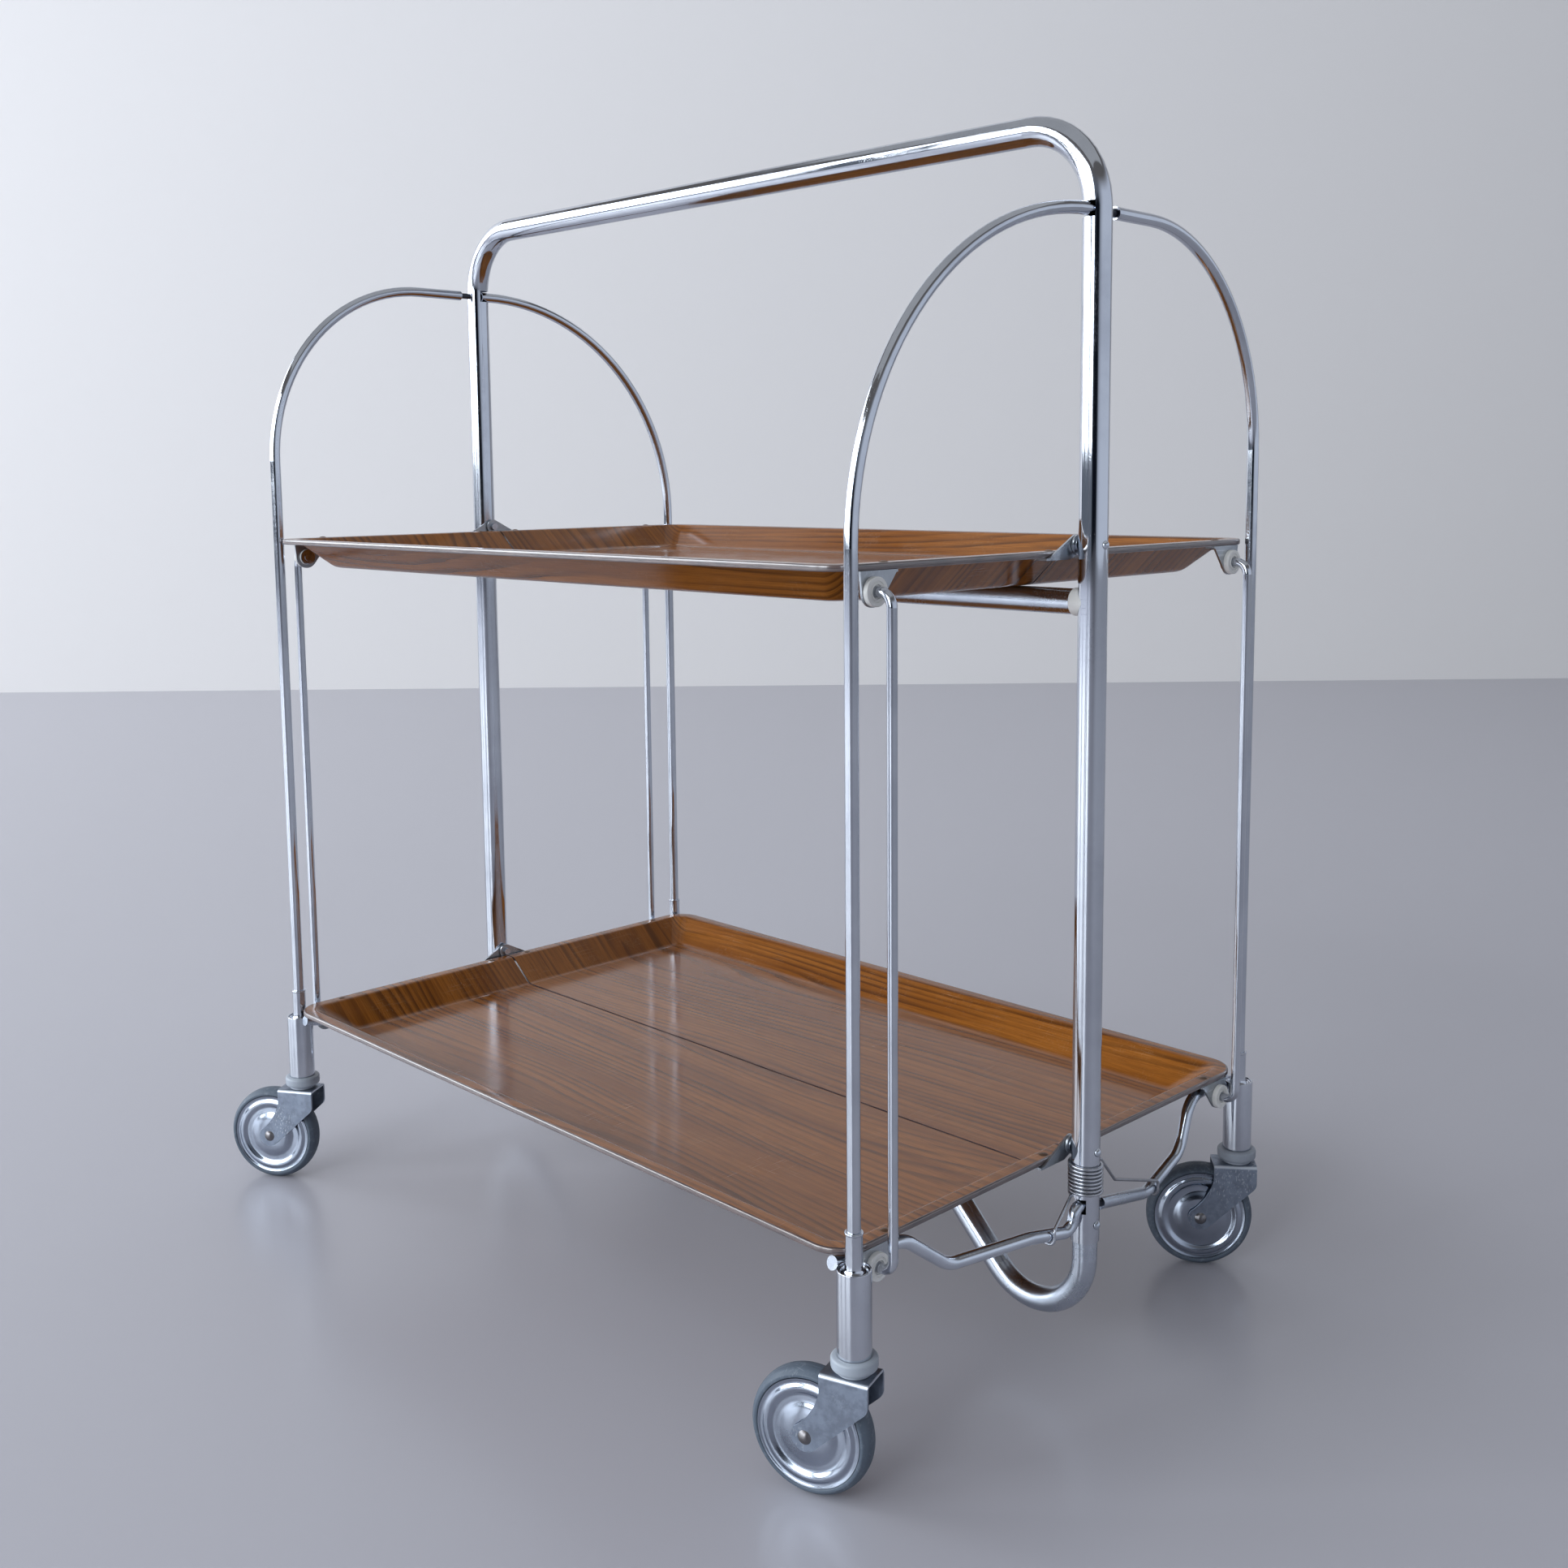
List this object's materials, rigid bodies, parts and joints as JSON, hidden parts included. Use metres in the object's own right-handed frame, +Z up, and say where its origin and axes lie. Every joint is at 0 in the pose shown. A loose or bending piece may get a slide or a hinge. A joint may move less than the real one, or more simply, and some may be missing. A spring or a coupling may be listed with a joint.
{
  "type": "drop leaf tea trolley",
  "caption": "Folding tea trolley: tubular hoop handle, split wood-look trays that fold up, arched tube legs and trailing casters.",
  "frame": {"origin": "on the floor, midway between the two uprights", "axes": "+X along the handle towards the right end, +Y across towards the far side, +Z up"},
  "size_m": [0.7013, 0.458, 0.7875],
  "materials": {
    "chrome_tube": "bright plated, polished",
    "zinc": "bright zinc plated, satin",
    "zinc_sheet": "zinc plated sheet",
    "fork_zinc": "galvanised, matt blue-grey",
    "disc_zinc": "pressed and plated, glossy",
    "white_nylon": "natural nylon, satin",
    "grey_plastic": "pale grey-blue, satin",
    "laminate": "reddish brown wood-look laminate, glossy",
    "tyre_rubber": "blue-grey rubber, matt"
  },
  "bodies": {
    "frame": {"hoop": "chrome_tube", "base_loop": "chrome_tube", "cross_tube": "chrome_tube", "cross_tube_collars": "white_nylon", "hinge_bolts": "zinc", "hinge_washers": "zinc", "frame_screws": "zinc", "gate_stub_pins": "zinc", "torsion_spring_right": "zinc", "torsion_spring_left": "zinc", "housing_collars": "grey_plastic", "leg_near_right": "chrome_tube", "leg_near_left": "chrome_tube", "leg_far_right": "chrome_tube", "leg_far_left": "chrome_tube", "rail_near_right": "zinc", "rail_near_left": "zinc", "rail_far_right": "zinc", "rail_far_left": "zinc", "housing_near_right": "zinc", "housing_near_left": "zinc", "housing_far_right": "zinc", "housing_far_left": "zinc"},
    "upper_near_half": {"upper_near_tray": "laminate", "upper_near_brackets": "zinc_sheet", "upper_near_rivets": "zinc", "upper_near_bushes": "white_nylon"},
    "lower_near_half": {"lower_near_tray": "laminate", "lower_near_brackets": "zinc_sheet", "lower_near_rivets": "zinc", "lower_near_bushes": "white_nylon"},
    "near_right_rod": {"rod_near_right": "zinc"},
    "near_left_rod": {"rod_near_left": "zinc"},
    "upper_far_half": {"upper_far_tray": "laminate", "upper_far_brackets": "zinc_sheet", "upper_far_rivets": "zinc", "upper_far_bushes": "white_nylon"},
    "lower_far_half": {"lower_far_tray": "laminate", "lower_far_brackets": "zinc_sheet", "lower_far_rivets": "zinc", "lower_far_bushes": "white_nylon"},
    "far_right_rod": {"rod_far_right": "zinc"},
    "far_left_rod": {"rod_far_left": "zinc"},
    "near_right_fork": {"fork_near_right": "fork_zinc", "axle_near_right": "zinc"},
    "near_right_wheel": {"disc_near_right": "disc_zinc", "tyre_near_right": "tyre_rubber"},
    "near_left_fork": {"fork_near_left": "fork_zinc", "axle_near_left": "zinc"},
    "near_left_wheel": {"disc_near_left": "disc_zinc", "tyre_near_left": "tyre_rubber"},
    "far_right_fork": {"fork_far_right": "fork_zinc", "axle_far_right": "zinc"},
    "far_right_wheel": {"disc_far_right": "disc_zinc", "tyre_far_right": "tyre_rubber"},
    "far_left_fork": {"fork_far_left": "fork_zinc", "axle_far_left": "zinc"},
    "far_left_wheel": {"disc_far_left": "disc_zinc", "tyre_far_left": "tyre_rubber"}
  },
  "joints": [
    {"name": "upper_near_fold", "type": "hinge", "parent": "frame", "child": "upper_near_half", "pos_m": [0, 0, 0.5298], "axis": [-1, 0, 0], "range_deg": [0, 90]},
    {"name": "lower_near_fold", "type": "hinge", "parent": "frame", "child": "lower_near_half", "pos_m": [0, 0, 0.1498], "axis": [-1, 0, 0], "range_deg": [0, 90]},
    {"name": "near_right_rod_turn", "type": "hinge", "parent": "upper_near_half", "child": "near_right_rod", "pos_m": [0, -0.18, 0.511], "axis": [-1, 0, 0], "range_deg": [-90, 0]},
    {"name": "near_left_rod_turn", "type": "hinge", "parent": "upper_near_half", "child": "near_left_rod", "pos_m": [0, -0.18, 0.511], "axis": [-1, 0, 0], "range_deg": [-90, 0]},
    {"name": "upper_far_fold", "type": "hinge", "parent": "frame", "child": "upper_far_half", "pos_m": [0, 0, 0.5298], "axis": [1, 0, 0], "range_deg": [0, 90]},
    {"name": "lower_far_fold", "type": "hinge", "parent": "frame", "child": "lower_far_half", "pos_m": [0, 0, 0.1498], "axis": [1, 0, 0], "range_deg": [0, 90]},
    {"name": "far_right_rod_turn", "type": "hinge", "parent": "upper_far_half", "child": "far_right_rod", "pos_m": [0, 0.18, 0.511], "axis": [1, 0, 0], "range_deg": [-90, 0]},
    {"name": "far_left_rod_turn", "type": "hinge", "parent": "upper_far_half", "child": "far_left_rod", "pos_m": [0, 0.18, 0.511], "axis": [1, 0, 0], "range_deg": [-90, 0]},
    {"name": "near_right_swivel", "type": "hinge", "parent": "frame", "child": "near_right_fork", "pos_m": [0.311, -0.201, 0.0777], "axis": [0, 0, 1], "continuous": true},
    {"name": "near_right_roll", "type": "hinge", "parent": "near_right_fork", "child": "near_right_wheel", "pos_m": [0.2863, -0.20912, 0.0375], "axis": [0.3123, -0.95, 0], "continuous": true},
    {"name": "near_left_swivel", "type": "hinge", "parent": "frame", "child": "near_left_fork", "pos_m": [-0.311, -0.201, 0.0777], "axis": [0, 0, 1], "continuous": true},
    {"name": "near_left_roll", "type": "hinge", "parent": "near_left_fork", "child": "near_left_wheel", "pos_m": [-0.33283, -0.21512, 0.0375], "axis": [0.5432, -0.8396, 0], "continuous": true},
    {"name": "far_right_swivel", "type": "hinge", "parent": "frame", "child": "far_right_fork", "pos_m": [0.311, 0.201, 0.0777], "axis": [0, 0, 1], "continuous": true},
    {"name": "far_right_roll", "type": "hinge", "parent": "far_right_fork", "child": "far_right_wheel", "pos_m": [0.29079, 0.18464, 0.0375], "axis": [0.6293, -0.7771, 0], "continuous": true},
    {"name": "far_left_swivel", "type": "hinge", "parent": "frame", "child": "far_left_fork", "pos_m": [-0.311, 0.201, 0.0777], "axis": [0, 0, 1], "continuous": true},
    {"name": "far_left_roll", "type": "hinge", "parent": "far_left_fork", "child": "far_left_wheel", "pos_m": [-0.33352, 0.188, 0.0375], "axis": [0.5, -0.866, 0], "continuous": true}
  ],
  "couplings": [
    {"joint": "lower_near_fold", "follows": "upper_near_fold", "ratio": 1},
    {"joint": "near_right_rod_turn", "follows": "upper_near_fold", "ratio": -1},
    {"joint": "near_left_rod_turn", "follows": "upper_near_fold", "ratio": -1},
    {"joint": "lower_far_fold", "follows": "upper_far_fold", "ratio": 1},
    {"joint": "far_right_rod_turn", "follows": "upper_far_fold", "ratio": -1},
    {"joint": "far_left_rod_turn", "follows": "upper_far_fold", "ratio": -1}
  ]
}
